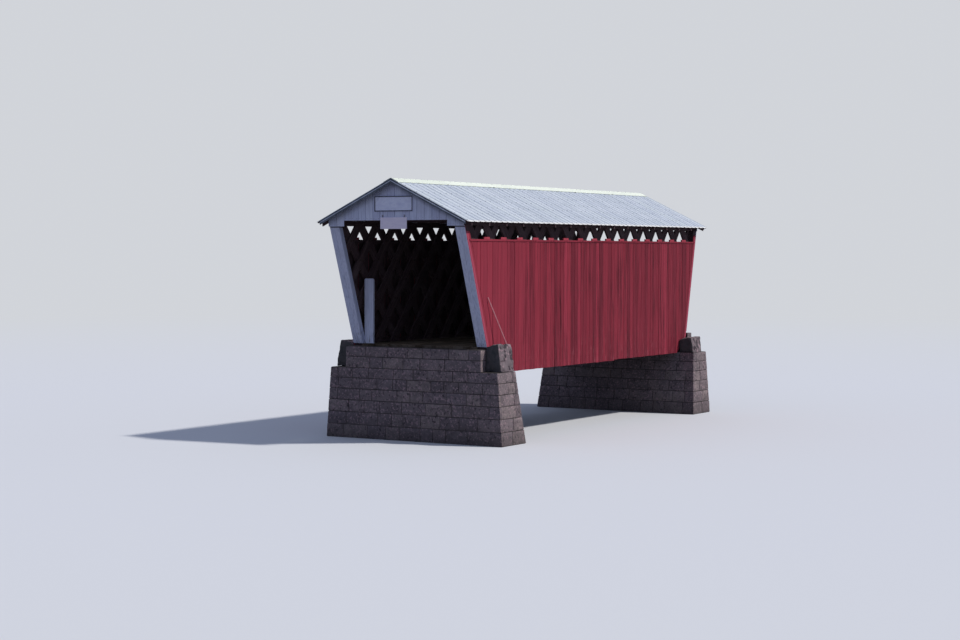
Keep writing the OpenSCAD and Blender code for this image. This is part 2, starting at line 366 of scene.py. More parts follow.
chance = random.Random(11)
lower, upper, back = [
    (-half - stone_proud, half + stone_proud) for half in (half_foot, half_seat, half_wall)]
right_return = (outer_y, outer_y + back_wall_depth)
left_return = (-right_return[1], -right_return[0])
span_lean = math.atan((span_foot_y - span_top_y) / seat_z)
end_lean = math.atan((half_foot - half_seat) / seat_z)
walls = []
for heights, foot, top, lean, turn, spot in (
        (seat_course_heights, lower, upper, 0, 0, (0, outer_y, 0)),
        (seat_course_heights, lower, upper, span_lean, math.pi, (0, span_foot_y, 0)),
        (seat_course_heights, (outer_y, span_foot_y), (outer_y, span_top_y), end_lean, quarter_turn,
         (half_foot, 0, 0)),
        (seat_course_heights, (-span_foot_y, -outer_y), (-span_top_y, -outer_y), end_lean,
         -quarter_turn, (-half_foot, 0, 0)),
        (back_course_heights, back, back, 0, 0, (0, outer_y, seat_z)),
        (back_course_heights, right_return, right_return, 0, quarter_turn, (half_wall, 0, seat_z)),
        (back_course_heights, left_return, left_return, 0, -quarter_turn, (-half_wall, 0, seat_z))):
    wall = lay_courses(heights, foot, top, chance)
    wall.scale.z = 1 / math.cos(lean)
    wall.rotation_euler = (-lean, 0, turn)
    wall.location = spot
    set_down(wall)
    walls.append(wall)
near_stones = gather(walls, "near_abutment_stones")
ease_edges(near_stones, stone_edge, 2)
roughen(near_stones, stone_hollows, 0.22)
saw(near_stones, (0, 0, 0), (0, 0, -1))
far_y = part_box("far_abutment")[1].y + outer_y
far_stones = turned_copy(near_stones, "far_abutment_stones", far_y)
scrap(rough_stone)
for stones in (near_stones, far_stones):
    smooth(stones, 35)
    fit(stones, "masonry", stone)

# Cheek stones
# Beside each end of the walls one large rough stone stands on the abutment and guards the corner.
# Its outer face leans in like the abutment that it is bedded on, and its top falls to the wall.
cheek_batter = 0.16
cheek_fall = 0.18
cheek_edge = 0.030
cheek_hollows = 0.110
cheek_chips = 0.045
cheek_stone = quarried("rough cheek stone", 0.13, 0.9, 0.51)
shaded_side = part_of(cheek_stone, axis_place(cheek_stone, "Y", "Normal"), -0.35, -0.75, 0.0, 0.85)
lay_over(cheek_stone, shaded_side, tint(63, 65, 67))
for name in ("near_right_cheek", "near_left_cheek", "far_right_cheek", "far_left_cheek"):
    low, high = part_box(name)
    side = 1 if high.x > 0 else -1
    cheek = block(high - low, (low + high) / 2)
    outer_x = high.x if side > 0 else low.x
    saw(cheek, (outer_x, 0, low.z), (side, 0, cheek_batter))
    top_x = outer_x - side * cheek_batter * (high.z - low.z)
    saw(cheek, (top_x, 0, high.z), (-side * cheek_fall, 0, 1))
    ease_edges(cheek, cheek_edge, 2)
    subdivide(cheek, 7)
    roughen(cheek, cheek_hollows, 0.30)
    roughen(cheek, cheek_chips, 0.07)
    smooth(cheek, 45)
    cheek.name = name + "_stone"
    fit(cheek, "masonry", cheek_stone, name)

# Bed timbers, chords, lattices and posts
# The trusses are sawn planks of aged, unpainted softwood, clamped and pegged, that cross each
# other at about 51 degrees. They stand on a squared timber bedded on the stone seat.
lattice_rise = 0.6226
lattice_half_pitch = 0.5
lattice_turn = math.atan2(lattice_rise, lattice_half_pitch)
rake_rise = 3.71
near_set = 1.29
far_set = 0.83
rake_turn = {-1: math.atan2(near_set, rake_rise), 1: math.atan2(far_set, rake_rise)}
along_x = (0.9, 0.025, 0.025)
along_y = (0.025, 0.9, 0.025)
along_z = (0.025, 0.025, 0.9)


def aged_timber(name, grain, turn=(0, 0, 0)):
    """Brown-grey sawn wood; grain is the size in metres of one streak along X, Y and Z."""
    timber = finish(name, 0.9)
    streaks = mottle(timber, grain, 6.0, turn, 0.4)
    colour(timber, shades(
        timber, streaks,
        (0.25, 54, 41, 47), (0.45, 80, 63, 66), (0.6, 97, 79, 80), (0.8, 115, 98, 98)))
    lay_over(timber, patches(timber, (0.5, 0.7, 0.5), 0.45, 0.75, 0.0, 0.4), tint(114, 102, 102))
    lay_over(timber, part_of(timber, each_piece(timber), 0.0, 1.0, 0.0, 0.45), tint(50, 39, 44))
    relief(timber, 0.003, streaks)
    return timber


along_bridge = aged_timber("aged timber along the bridge", along_y)
across_bridge = aged_timber("aged timber across the bridge", along_x)
leaning_out = aged_timber("aged timber of the outer lattice", along_y, (-lattice_turn, 0, 0))
leaning_in = aged_timber("aged timber of the inner lattice", along_y, (lattice_turn, 0, 0))
near_rake = aged_timber("aged timber of the near posts", along_z, (rake_turn[-1], 0, 0))
far_rake = aged_timber("aged timber of the far posts", along_z, (-rake_turn[1], 0, 0))
paint_nodes(across_bridge, "near_bed_timber", "far_bed_timber")
for word in ("right", "left"):
    paint_nodes(along_bridge, word + "_lower_chord", word + "_upper_chord")
    paint_nodes(leaning_out, word + "_lattice_outer")
    paint_nodes(leaning_in, word + "_lattice_inner")
    paint_nodes(near_rake, "near_" + word + "_post")
    paint_nodes(far_rake, "far_" + word + "_post")

# Pegs
# Two round hardwood pegs are driven through every crossing of the lattice planks, and through
# the chords that clamp them. Their ends stand out a little on both sides.
peg_radius = 0.022
peg_stand_out = 0.014
peg_spacing = 0.065
peg_rows = 7
peg_columns = 17
first_crossing = 1.31
post_clear = 0.32
gable_out = 0.06
sides = ((1, "right"), (-1, "left"))
lattice_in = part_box("right_lattice_inner")[0].x
lattice_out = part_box("right_lattice_outer")[1].x
chord_low, chord_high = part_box("right_lower_chord")
plate_low, plate_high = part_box("right_upper_chord")
deck_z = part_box("deck")[1].z
wall_half = plate_high.y - gable_out


def rake_y(end, z):
    """How far the raked face of the near (-1) or far (1) end is from the middle, at a height."""
    step_back = near_set if end < 0 else far_set
    return wall_half - step_back * (1 - (z - deck_z) / rake_rise)


def pin(radius, length, edges=8, place=(0, 0, 0), turn=(0, 0, 0)):
    """The blank of a round peg, spike or nail head, which stands on Z until it is turned."""
    bpy.ops.mesh.primitive_cylinder_add(
        vertices=edges, radius=radius, depth=length, location=place, rotation=turn)
    return bpy.context.object


def whittle_peg(x_in, x_out):
    middle = ((x_in + x_out) / 2, 0, 0)
    peg = pin(peg_radius, x_out - x_in + 2 * peg_stand_out, 10, middle, (0, quarter_turn, 0))
    set_down(peg)
    ease_edges(peg, 0.004)
    return peg


peg_wood = finish("split oak pegs", 0.85)
colour(peg_wood, shades(
    peg_wood, each_piece(peg_wood), (0.0, 48, 38, 32), (0.5, 68, 55, 45), (1.0, 88, 74, 60)))
rings = mottle(peg_wood, (0.03, 0.006, 0.006), 3.0)
lay_over(peg_wood, part_of(peg_wood, rings, 0.4, 0.7, 0.0, 0.6), tint(36, 30, 26))
relief(peg_wood, 0.001, rings)
short_peg = whittle_peg(lattice_in, lattice_out)
long_peg = whittle_peg(chord_low.x, chord_high.x)
for side, word in sides:
    pegs = []
    for row in range(peg_rows + 1):
        pattern = long_peg if row in (0, peg_rows) else short_peg
        z = (chord_low.z + chord_high.z) / 2 + row * lattice_rise
        if row == peg_rows:
            z = (plate_low.z + plate_high.z) / 2
        for step in range(-1, peg_columns):
            y = first_crossing - wall_half + (2 * step + (peg_rows - row) % 2) * lattice_half_pitch
            if abs(y) < rake_y(math.copysign(1, y), z) - post_clear:
                for aside in (-peg_spacing, peg_spacing):
                    pegs.append(another(pattern, (0, y + aside, z)))
    truss_pegs = gather(pegs, word + "_truss_pegs")
    if side < 0:
        truss_pegs.location.x = -(chord_low.x + chord_high.x)
        set_down(truss_pegs)
    fit(truss_pegs, "timber", peg_wood)
scrap(short_peg, long_peg)

# Floor beams and deck planks
# Squared beams cross from truss to truss on the lower chords. Worn planks lie along the bridge
# on top of them, spiked down with two iron spikes over every beam.
plank_rows = 17
plank_gap = 0.007
plank_edge = 0.006
spike_radius = 0.011
spike_height = 0.004
spike_asides = (-0.3, 0.3)
spike_steps = (-0.05, 0.05)
end_scatter = (-0.01, 0.012)
beam_count = 14
beam_half = 0.10
paint_nodes(across_bridge, "floor_beams")
deck_low, deck_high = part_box("deck")
deck_middle = (deck_low.z + deck_high.z) / 2
beam_low, beam_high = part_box("floor_beams")
beam_step = (beam_high.y - beam_low.y - 2 * beam_half) / (beam_count - 1)
beam_places = [beam_low.y + beam_half + step * beam_step for step in range(beam_count)]

chance = random.Random(5)
plank_width = (deck_high.x - deck_low.x) / plank_rows
plank = block((1, 1, 1), (0, 0, 0))
spike = pin(spike_radius, spike_height)
planks = []
spikes = []
for row in range(plank_rows):
    x = deck_low.x + (row + 0.5) * plank_width
    joints = [deck_low.y + chance.uniform(*end_scatter)]
    beam = chance.choice((2, 3, 4))
    while beam < beam_count - 2:
        joints.append(beam_places[beam])
        beam += chance.choice((3, 4, 5))
    joints.append(deck_high.y - chance.uniform(*end_scatter))
    for start, stop in zip(joints, joints[1:]):
        wide = plank_width - plank_gap * chance.uniform(0.6, 1.5)
        size = (wide, stop - start - plank_gap / 2, deck_high.z - deck_low.z)
        sink = chance.uniform(-0.002, 0.003)
        planks.append(another(plank, (x, (start + stop) / 2, deck_middle - sink), size))
    for place in beam_places:
        for aside in spike_asides:
            spike_x = x + aside * plank_width + chance.uniform(-0.015, 0.015)
            spike_y = place + chance.choice(spike_steps) + chance.uniform(-0.012, 0.012)
            spikes.append(another(spike, (spike_x, spike_y, deck_high.z + spike_height / 4)))
deck = gather(planks, "deck_planks")
ease_edges(deck, plank_edge)
deck_spikes = gather(spikes, "deck_spikes")
scrap(plank, spike)

deck_wood = finish("worn deck planks", 0.88)
streaks = mottle(deck_wood, (0.02, 0.7, 0.02), 6.0, warp=0.5)
colour(deck_wood, shades(
    deck_wood, streaks,
    (0.25, 60, 52, 46), (0.45, 88, 78, 69), (0.6, 108, 97, 87), (0.8, 126, 115, 103)))
plank_tones = shades(
    deck_wood, each_piece(deck_wood), (0.0, 150, 140, 132), (0.5, 205, 198, 190), (1.0, 255, 250, 244))
lay_over(deck_wood, 1.0, plank_tones, "MULTIPLY")
dust = patches(deck_wood, (0.35, 1.6, 0.3), 0.42, 0.72, 0.0, 0.65)
lay_over(deck_wood, dust, tint(130, 120, 109))
relief(deck_wood, 0.003, streaks, mottle(deck_wood, (0.05, 0.2, 0.05)))
fit(deck, "deck_wood", deck_wood, "deck")
iron = cloudy(
    "dark wrought iron", (0.6, 0.8, 0.5), (0.02,), (0.004,), 0.0008,
    (0.35, 52, 46, 44), (0.55, 78, 58, 46), (0.75, 108, 72, 50))
fit(deck_spikes, "deck_wood", iron)

# Tie beams and rafters
# Squared tie beams cross the bridge on the upper chords, and pairs of light rafters are notched
# over the chords and meet at the ridge. All of it is the same aged softwood.
paint_nodes(across_bridge, "tie_beams")
roof_fall = 1.32
roof_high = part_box("right_roof")[1]
roof_turn = math.atan2(roof_fall, roof_high.x)
for side, word in sides:
    rafter_wood = aged_timber(f"aged timber of the {word} rafters", along_x, (0, side * roof_turn, 0))
    paint_nodes(rafter_wood, word + "_rafters")

# Roof laths and barge boards
# Seven rows of sawn laths on each slope carry the sheets and reach past the gables, where a
# dark barge board with a paler bead closes their ends, nearly down to the eave. The barge
# board's dark grey is partly weathered paint and partly painted shade along the roof's edge.
lath_rows = 7
lath_wide = 0.10
lath_thick = 0.025
barge_deep = 0.108
bead_deep = 0.022
bead_top = 0.046
bead_out = 0.012
barge_short = 0.10
under_sheets = 0.008
slope_length = roof_high.x / math.cos(roof_turn)
roof_half = roof_high.y
ridge_z = roof_high.z
lath_step = (slope_length - lath_wide) / (lath_rows - 1)
lath_places = [row * lath_step + lath_wide / 2 for row in range(lath_rows)]


def lay_on_slope(thing, side):
    """Lays a thing made flat, with X running down from the ridge, on the right or left slope."""
    thing.rotation_euler = (0, roof_turn, 0 if side > 0 else math.pi)
    thing.location = (0, 0, ridge_z)
    set_down(thing)


brushed_coats = ((0.3, 0.04, 0.3), 5.0)
brush_marks = ((0.4, 0.02, 0.02), 4.0)
# The barge boards' dark grey is partly weathered paint and partly painted shade along the roof's edge.
barge_paint_and_shade = cloudy(
    "dark barge paint and painted shade", (0.75,), brushed_coats, brush_marks, 0.001,
    (0.3, 70, 76, 84), (0.5, 92, 99, 110), (0.75, 120, 127, 140))
bead_paint = cloudy(
    "faded bead paint", (0.75,), brushed_coats, brush_marks, 0.001,
    (0.3, 148, 156, 176), (0.5, 196, 202, 218), (0.75, 216, 220, 232))
for side, word in sides:
    rows = []
    for x in lath_places:
        size = (lath_wide, 2 * (roof_half - lath_thick), lath_thick)
        rows.append(block(size, (x, 0, -under_sheets - lath_thick / 2)))
    laths = gather(rows, word + "_lath_rows")
    lay_on_slope(laths, side)
    saw(laths, (0, 0, 0), (-side, 0, 0))
    ease_edges(laths, 0.003)
    fit(laths, "timber", along_bridge, word + "_laths")
    for name, paint, length, deep, out, z in (
            ("_barge_boards", barge_paint_and_shade, slope_length + 4 * lath_thick, barge_deep, 0,
             -under_sheets - barge_deep / 2),
            ("_barge_beads", bead_paint, slope_length, bead_deep, bead_out, -bead_top - bead_deep / 2)):
        pieces = []
        for end in (-1, 1):
            middle = (slope_length / 2, end * (roof_half - lath_thick / 2 + out), z)
            pieces.append(block((length, lath_thick, deep), middle))
        barges = gather(pieces, word + name)
        lay_on_slope(barges, side)
        saw(barges, (0, 0, 0), (-side, 0, 0))
        saw(barges, (side * (roof_high.x - barge_short), 0, 0), (side, 0, 0))
        ease_edges(barges, 0.003)
        fit(barges, "timber", paint, word + "_laths")

# Roof sheets
# Each slope is covered with 26 long sheets of pale galvanised steel. A sheet has three pressed
# ribs; the last one laps over the next sheet's first, and lead-headed nails hold the ribs down.
sheet_count = 26
rib_high = 0.022
rib_half = 0.028
lap_gap = 0.004
lap_flat = 0.010
sheet_thick = 0.0025
sheet_waves = 0.007
sheet_rows = 12
eave_reach = 0.020
eave_scatter = 0.010
eave_dip = 0.006
nail_radius = 0.013
edge_margin = 0.030
cover = 2 * (roof_half - edge_margin) / sheet_count


def score(thing, axis, places):
    """Cuts lines across a mesh, square to X, Y or Z, so that it can bend there."""
    open_mesh(thing)
    for place in places:
        point = Vector((0, 0, 0))
        point[axis] = place
        square = Vector((0, 0, 0))
        square[axis] = 1
        bpy.ops.mesh.bisect(plane_co=point, plane_no=square)
        bpy.ops.mesh.select_all(action="SELECT")
    close_mesh()


def shift(thing, chosen, by):
    """Moves the corners of a mesh that chosen says yes to."""
    open_mesh(thing, "DESELECT")
    close_mesh()
    for corner in thing.data.vertices:
        corner.select = chosen(corner.co)
    bpy.ops.object.mode_set(mode="EDIT")
    bpy.ops.transform.translate(value=by)
    close_mesh()


def near(value, place):
    return abs(value - place) < 0.001


sheet_end = slope_length + eave_reach
ribs = (0, cover / 2, cover)
flats = (cover / 4, 3 * cover / 4)
under_edge = -rib_half
over_edge = cover + rib_half + lap_flat
folds = [rib + step * rib_half for rib in ribs for step in (-1, 0, 1)]


def flat_sheet(size, middle):
    bpy.ops.mesh.primitive_plane_add(size=1, location=middle)
    blank = bpy.context.object
    blank.scale = size
    set_down(blank)
    return blank


sheet_middle = (sheet_end / 2, (under_edge + over_edge) / 2, 0)
sheet = flat_sheet((sheet_end, over_edge - under_edge, 1), sheet_middle)
score(sheet, 1, [*folds[1:], *flats])
score(sheet, 0, [sheet_end * row / sheet_rows for row in range(1, sheet_rows)])
for rib in ribs:
    shift(sheet, lambda co: near(co.y, rib), (0, 0, rib_high))
shift(sheet, lambda co: co.y > cover - 0.001, (0, 0, lap_gap))
shift(sheet, lambda co: near(co.x, sheet_end) and any(near(co.y, y) for y in flats), (0, 0, -eave_dip))
bpy.ops.mesh.primitive_cone_add(vertices=8, radius1=nail_radius, radius2=nail_radius / 2, depth=nail_radius)
roof_nail = bpy.context.object

steel = finish("pale galvanised roof sheet", 0.5, 0.1, 0.5)
colour(steel, shades(
    steel, each_piece(steel), (0.0, 176, 184, 196), (0.25, 190, 198, 208),
    (0.5, 182, 190, 204), (0.75, 196, 204, 211), (1.0, 186, 195, 204)))
clouded = patches(steel, (0.9, 0.5, 0.7), 0.4, 0.7, 0.0, 0.7)
lay_over(steel, clouded, tint(204, 210, 220))
washed = patches(steel, (1.4, 0.035, 0.7), 0.5, 0.72, 0.0, 0.5, 5.0)
lay_over(steel, washed, tint(154, 164, 178))
spangle = patches(steel, 0.05, 0.55, 0.75, 0.0, 0.35, 3.0)
lay_over(steel, spangle, tint(216, 221, 228))
# A pale band along the eave is a painted highlight on the lower edge of the sheets.
eave_z = ridge_z - roof_fall
eave_highlight = part_of(steel, axis_place(steel, "Z"), eave_z + 0.05, eave_z + 0.015, 0.0, 0.85)
lay_over(steel, eave_highlight, tint(240, 238, 233))
relief(steel, 0.0015, mottle(steel, (0.25, 0.12, 0.2), 3.0), mottle(steel, 0.02))
lead = cloudy(
    "dull lead nail heads", (0.6, 0.4, 0.5), (0.02,), (0.01,), 0.001,
    (0.3, 128, 132, 138), (0.7, 168, 172, 178))

chance = random.Random(23)
for side, word in sides:
    sheets = []
    nails = []
    for number in range(sheet_count):
        new_sheet = another(sheet, (0, -roof_half + edge_margin + number * cover, 0))
        new_sheet.scale.x = 1 + chance.uniform(-eave_scatter, 0) / sheet_end
        sheets.append(new_sheet)
        for rib, lift in ((ribs[0], rib_high + lap_gap), (ribs[1], rib_high)):
            for lath_x in lath_places:
                x = lath_x + chance.uniform(-0.02, 0.02)
                place = (x, new_sheet.location.y + rib, lift + nail_radius / 4)
                nails.append(another(roof_nail, place))
    covering = gather(sheets, word + "_roof_sheets")
    work(covering, "SOLIDIFY", thickness=sheet_thick, offset=-1)
    lay_on_slope(covering, side)
    roughen(covering, sheet_waves, 0.5, "Z")
    smooth(covering, 28)
    fit(covering, "roof_sheet", steel, word + "_roof")
    nail_rows = gather(nails, word + "_roof_nails")
    lay_on_slope(nail_rows, side)
    fit(nail_rows, "roof_sheet", lead)
scrap(sheet, roof_nail)

# Ridge cap
# Six lengths of bright folded steel, one lapped over the next, cover the gap between the slopes.
# Each has a soft roll on the ridge and a small turned-down edge that rests on the ribs.
cap_lengths = 6
cap_lap = 0.06
cap_wing = 0.30
cap_hem = 0.016
cap_roll = 0.035
cap_thick = 0.0025
cap_run = cap_wing * math.cos(roof_turn)
cap_rise = cap_wing * math.sin(roof_turn)
cap_cover = 2 * roof_half / cap_lengths
cap_piece = cap_cover + cap_lap
cap_step = (2 * roof_half - cap_piece) / (cap_lengths - 1)
cap = flat_sheet((2 * cap_run, cap_piece, 1), (0, 0, 0))
score(cap, 0, [0])
score(cap, 1, [cap_piece * (step / 6 - 0.5) for step in range(1, 6)])
shift(cap, lambda co: near(co.x, 0), (0, 0, cap_rise))
bpy.ops.object.mode_set(mode="EDIT")
bpy.ops.mesh.bevel(offset=cap_roll, segments=5)
bpy.ops.mesh.select_all(action="DESELECT")
close_mesh()
for edge in cap.data.edges:
    edge.select = all(near(abs(cap.data.vertices[i].co.x), cap_run) for i in edge.vertices)
bpy.ops.object.mode_set(mode="EDIT")
bpy.ops.mesh.select_mode(type="EDGE")
bpy.ops.mesh.extrude_region_move(TRANSFORM_OT_translate={"value": (0, 0, -cap_hem)})
bpy.ops.mesh.select_mode(type="VERT")
close_mesh()
caps = []
for number in range(cap_lengths):
    new_cap = another(cap, (0, -roof_half + cap_piece / 2 + number * cap_step, 0))
    new_cap.rotation_euler.x = cap_thick / cap_cover
    caps.append(new_cap)
scrap(cap)
ridge_cap = gather(caps, "ridge_cap_lengths")
ridge_cap.location.z = ridge_z - cap_rise + rib_high + 2 * lap_gap
set_down(ridge_cap)
work(ridge_cap, "SOLIDIFY", thickness=cap_thick, offset=-1)
roughen(ridge_cap, 0.005, 0.4, "Z")
smooth(ridge_cap, 28)
cap_steel = finish("bright galvanised ridge cap", 0.45, 0.1, 0.5)
colour(cap_steel, shades(
    cap_steel, each_piece(cap_steel), (0.0, 232, 239, 222), (0.5, 240, 246, 230), (1.0, 226, 233, 217)))
dulled = patches(cap_steel, (0.25, 0.4, 0.2), 0.5, 0.75, 0.0, 0.5)
lay_over(cap_steel, dulled, tint(206, 214, 202))
relief(cap_steel, 0.001, mottle(cap_steel, (0.2, 0.3, 0.2), 3.0))
fit(ridge_cap, "roof_sheet", cap_steel, "ridge_cap")

# Wall boards
# Each side is closed with upright red boards of uneven width, nailed to the rails behind them
# and sawn off along the raked ends and the lower corners. A leaning board edges each end.
board_widths = (0.16, 0.33)
board_gap = 0.008
board_edge = 0.004
board_scatter = 0.004
foot_scatter = 0.012
far_feet_up = 0.035
far_feet_from = 1.45
board_warp = 0.010
end_board_wide = 0.20
end_board_blank = (3.0, 6.0)
end_board_middle = deck_z + 1.5
end_board_top = deck_z + 3.55
end_nail_insets = (0.05, 0.15)
corner_top = deck_z - 0.20
corner_cut = 0.85
wall_nail_radius = 0.007
wall_nail_head = 0.004
wall_nail_shares = (0.22, 0.78)
nail_wander = 0.012
end_board_clear = 0.03
corner_clear = 0.6
half_sliver = 0.02
board_low, board_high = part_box("right_siding")
boards_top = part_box("right_top_rail")[1].z
board_thick = board_high.x - board_low.x
board_middle = (board_low.x + board_high.x) / 2
nail_heights = (deck_z - 0.55, deck_z + 0.05, deck_z + 1.645, deck_z + 3.21)


def reckon(material, sum_kind, *values):
    """The result of one sum, such as MULTIPLY or MAXIMUM, on amounts or numbers."""
    result = node(material, "Math")
    result.operation = sum_kind
    for value, socket in zip(values, result.inputs):
        feed(material, value, socket)
    return result.outputs["Value"]


def together(material, one, other):
    """An amount that is high only where both are."""
    return reckon(material, "MULTIPLY", one, other)


def sloping_place(material, axis, slope):
    """The height of a point, plus a slope times how far along X or Y it lies, in metres."""
    return reckon(material, "MULTIPLY_ADD", axis_place(material, axis), slope, axis_place(material, "Z"))


barn_red = finish("weathered red barn paint", 0.78)
colour(barn_red, shades(
    barn_red, each_piece(barn_red), (0.0, 104, 26, 42), (0.2, 136, 40, 56), (0.4, 116, 31, 47),
    (0.6, 148, 46, 62), (0.8, 126, 35, 51), (1.0, 158, 52, 70)))
faded = patches(barn_red, (0.1, 0.09, 1.3), 0.45, 0.75, 0.0, 0.55, 5.0, 0.3)
lay_over(barn_red, faded, tint(150, 54, 71))
# The near stretch of the wall is coloured paler and pinker than the rest.
near_stretch = (board_low.y + 1.5, board_low.y + 4.5)
paler_near_end = part_of(barn_red, axis_place(barn_red, "Y"), near_stretch[1], near_stretch[0], 0.0, 0.5)
lay_over(barn_red, paler_near_end, tint(164, 58, 75))
sheltered = part_of(barn_red, axis_place(barn_red, "Y"), *near_stretch, 0.3, 1.0)
wet_stretches = patches(barn_red, (0.6, 0.55, 3.0), 0.42, 0.62, 0.35, 1.0, 3.0)
runs = patches(barn_red, (0.035, 0.032, 1.2), 0.46, 0.62, 0.0, 0.9, 6.0)
run_marks = together(barn_red, sheltered, together(barn_red, wet_stretches, runs))
lay_over(barn_red, run_marks, tint(64, 10, 24))
foot_wear = part_of(barn_red, axis_place(barn_red, "Z"), deck_z + 0.6, board_low.z, 0.0, 0.6)
worn_spots = patches(barn_red, (0.05, 0.05, 0.35), 0.56, 0.7, detail=5.0)
lay_over(barn_red, together(barn_red, foot_wear, worn_spots), tint(160, 88, 98))
# Along each raked end the wall is coloured paler: a painted highlight where the sun catches the end boards'
# edges.
for end, step_back in ((-1, near_set), (1, far_set)):
    steep = rake_rise / step_back
    edge_line = deck_z + rake_rise - steep * wall_half
    inside = sloping_place(barn_red, "Y", -end * steep)
    painted_edge_highlight = part_of(barn_red, inside, edge_line + 0.11 * steep, edge_line + 0.09 * steep, 0.0, 0.6)
    lay_over(barn_red, painted_edge_highlight, tint(186, 84, 106))
long_grain = mottle(barn_red, (0.02, 0.018, 0.7), 6.0)
relief(barn_red, 0.0025, long_grain, mottle(barn_red, (0.006, 0.006, 0.03), 3.0))


def rake_saw(thing, end, inset, keep_outside=False):
    """Cuts along the raked line of one end, set in by inset, keeping the bridge's side of it."""
    point = (0, end * (rake_y(end, deck_z) - inset), deck_z)
    towards = Vector((0, end * math.cos(rake_turn[end]), -math.sin(rake_turn[end])))
    saw(thing, point, -towards if keep_outside else towards)


def recoat(piece, other, chosen):
    """Gives the faces of a finished piece that chosen says yes to another finish."""
    piece.data.materials.append(other)
    for face in piece.data.polygons:
        if chosen(face):
            face.material_index = 1


bare_wood = aged_timber("bare backs of the boards", along_z)
plank = block((1, 1, 1), (0, 0, 0))
score(plank, 2, [-0.3, -0.1, 0.1, 0.3])
wall_nail = pin(wall_nail_radius, wall_nail_head, turn=(0, quarter_turn, 0))
set_down(wall_nail)
for side, word in sides:
    chance = random.Random(7 + side)
    boards = []
    nails = []
    y = board_low.y + half_sliver
    while y < board_high.y - half_sliver:
        width = chance.uniform(*board_widths)
        foot = board_low.z + chance.uniform(0, foot_scatter)
        if y > far_feet_from:
            foot += far_feet_up
        out = board_middle + chance.uniform(-board_scatter, board_scatter)
        size = (board_thick, width - board_gap * chance.uniform(0.6, 1.4), boards_top - foot)
        boards.append(another(plank, (side * out, y + width / 2, (boards_top + foot) / 2), size))
        nail_x = side * (out + board_thick / 2 + wall_nail_head / 4)
        for z in nail_heights:
            for share in wall_nail_shares:
                place = y + share * width
                end = math.copysign(1, place)
                edge = rake_y(end, max(z, deck_z)) - end_board_wide - end_board_clear
                if z < corner_top:
                    edge = rake_y(end, deck_z) - corner_clear
                if abs(place) < edge:
                    nail_z = z + chance.uniform(-nail_wander, nail_wander)
                    nails.append(another(wall_nail, (nail_x, place, nail_z)))
        y += width
    wall = gather(boards, word + "_wall_boards")
    end_boards = []
    for end in (-1, 1):
        rake_saw(wall, end, end_board_wide + board_gap)
        middle = (side * board_middle, end * rake_y(end, end_board_middle), end_board_middle)
        end_board = block((board_thick, *end_board_blank), middle)
        rake_saw(end_board, end, 0)
        rake_saw(end_board, end, end_board_wide, keep_outside=True)
        saw(end_board, (0, 0, end_board_top), (0, 0, 1))
        saw(end_board, (0, 0, board_low.z), (0, 0, -1))
        score(end_board, 2, [deck_z + step for step in (0, 0.7, 1.4, 2.1, 2.8)])
        end_boards.append(end_board)
        nail_x = side * (board_high.x + wall_nail_head / 4)
        for z in nail_heights[1:]:
            for inset in end_nail_insets:
                nails.append(another(wall_nail, (nail_x, end * (rake_y(end, z) - inset), z)))
    wall = gather([wall, *end_boards], word + "_wall_boards")
    for end in (-1, 1):
        corner_y = rake_y(end, corner_top)
        cut_back = corner_y - rake_y(end, deck_z) + corner_cut
        saw(wall, (0, end * corner_y, corner_top), (0, end * (corner_top - board_low.z), -cut_back))
    ease_edges(wall, board_edge)
    roughen(wall, board_warp, 0.45, "X")
    fit(wall, "red_paint", barn_red, word + "_siding")
    recoat(wall, bare_wood, lambda face: face.normal.x * side < -0.5)
    fit(gather(nails, word + "_wall_nails"), "red_paint", iron)
scrap(plank, wall_nail)

# Nailing rails and top rails
# Bare rails run behind the wall boards and take their nails; short red blocks stand up from the
# top one between the lattice planks. A thin rail in four lengths trims the top of the boards.
rail_lengths = 4
rail_joint = 0.004
rail_inset = 0.10
nailer_wood = aged_timber("aged timber of the nailing rails", along_y)
above_boards = part_of(nailer_wood, axis_place(nailer_wood, "Z"), boards_top - 0.02, boards_top)
block_red = shades(nailer_wood, mottle(nailer_wood, 0.05), (0.3, 150, 52, 68), (0.7, 184, 78, 92))
lay_over(nailer_wood, above_boards, block_red)
paint_nodes(nailer_wood, "right_nailers", "left_nailers")
rail_low, rail_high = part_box("right_top_rail")
rail_middle = (rail_low + rail_high) / 2
rail_piece = (rail_high.y - rail_low.y) / rail_lengths
for side, word in sides:
    lengths = []
    for number in range(rail_lengths):
        y = rail_low.y + (number + 0.5) * rail_piece
        size = (rail_high.x - rail_low.x, rail_piece - rail_joint, rail_high.z - rail_low.z)
        length = block(size, (side * rail_middle.x, y, rail_middle.z))
        score(length, 1, [y + rail_piece * step / 6 for step in (-2, -1, 0, 1, 2)])
        lengths.append(length)
    trim = gather(lengths, word + "_trim_rail")
    for end in (-1, 1):
        rake_saw(trim, end, rail_inset)
    ease_edges(trim, 0.004, 2)
    roughen(trim, 0.008, 0.6, "Z")
    fit(trim, "red_paint", barn_red, word + "_top_rail")

# Gable boards
# Upright white boards close each gable under the roof laths. The outer pairs reach lower, down
# to the heads of the jambs, and the others end above the portal.
leg_boards = 2
leg_wide = 0.595
middle_boards = 14
gable_gap = 0.010
under_laths = 0.0366
opening_top = deck_z + 3.89
nail_above_foot = 0.06
nail_below_slope = 0.16
nail_asides = (-0.08, 0.08)
gable_low, gable_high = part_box("near_gable")
gable_y = (gable_low.y + gable_high.y) / 2
gable_thick = gable_high.y - gable_low.y

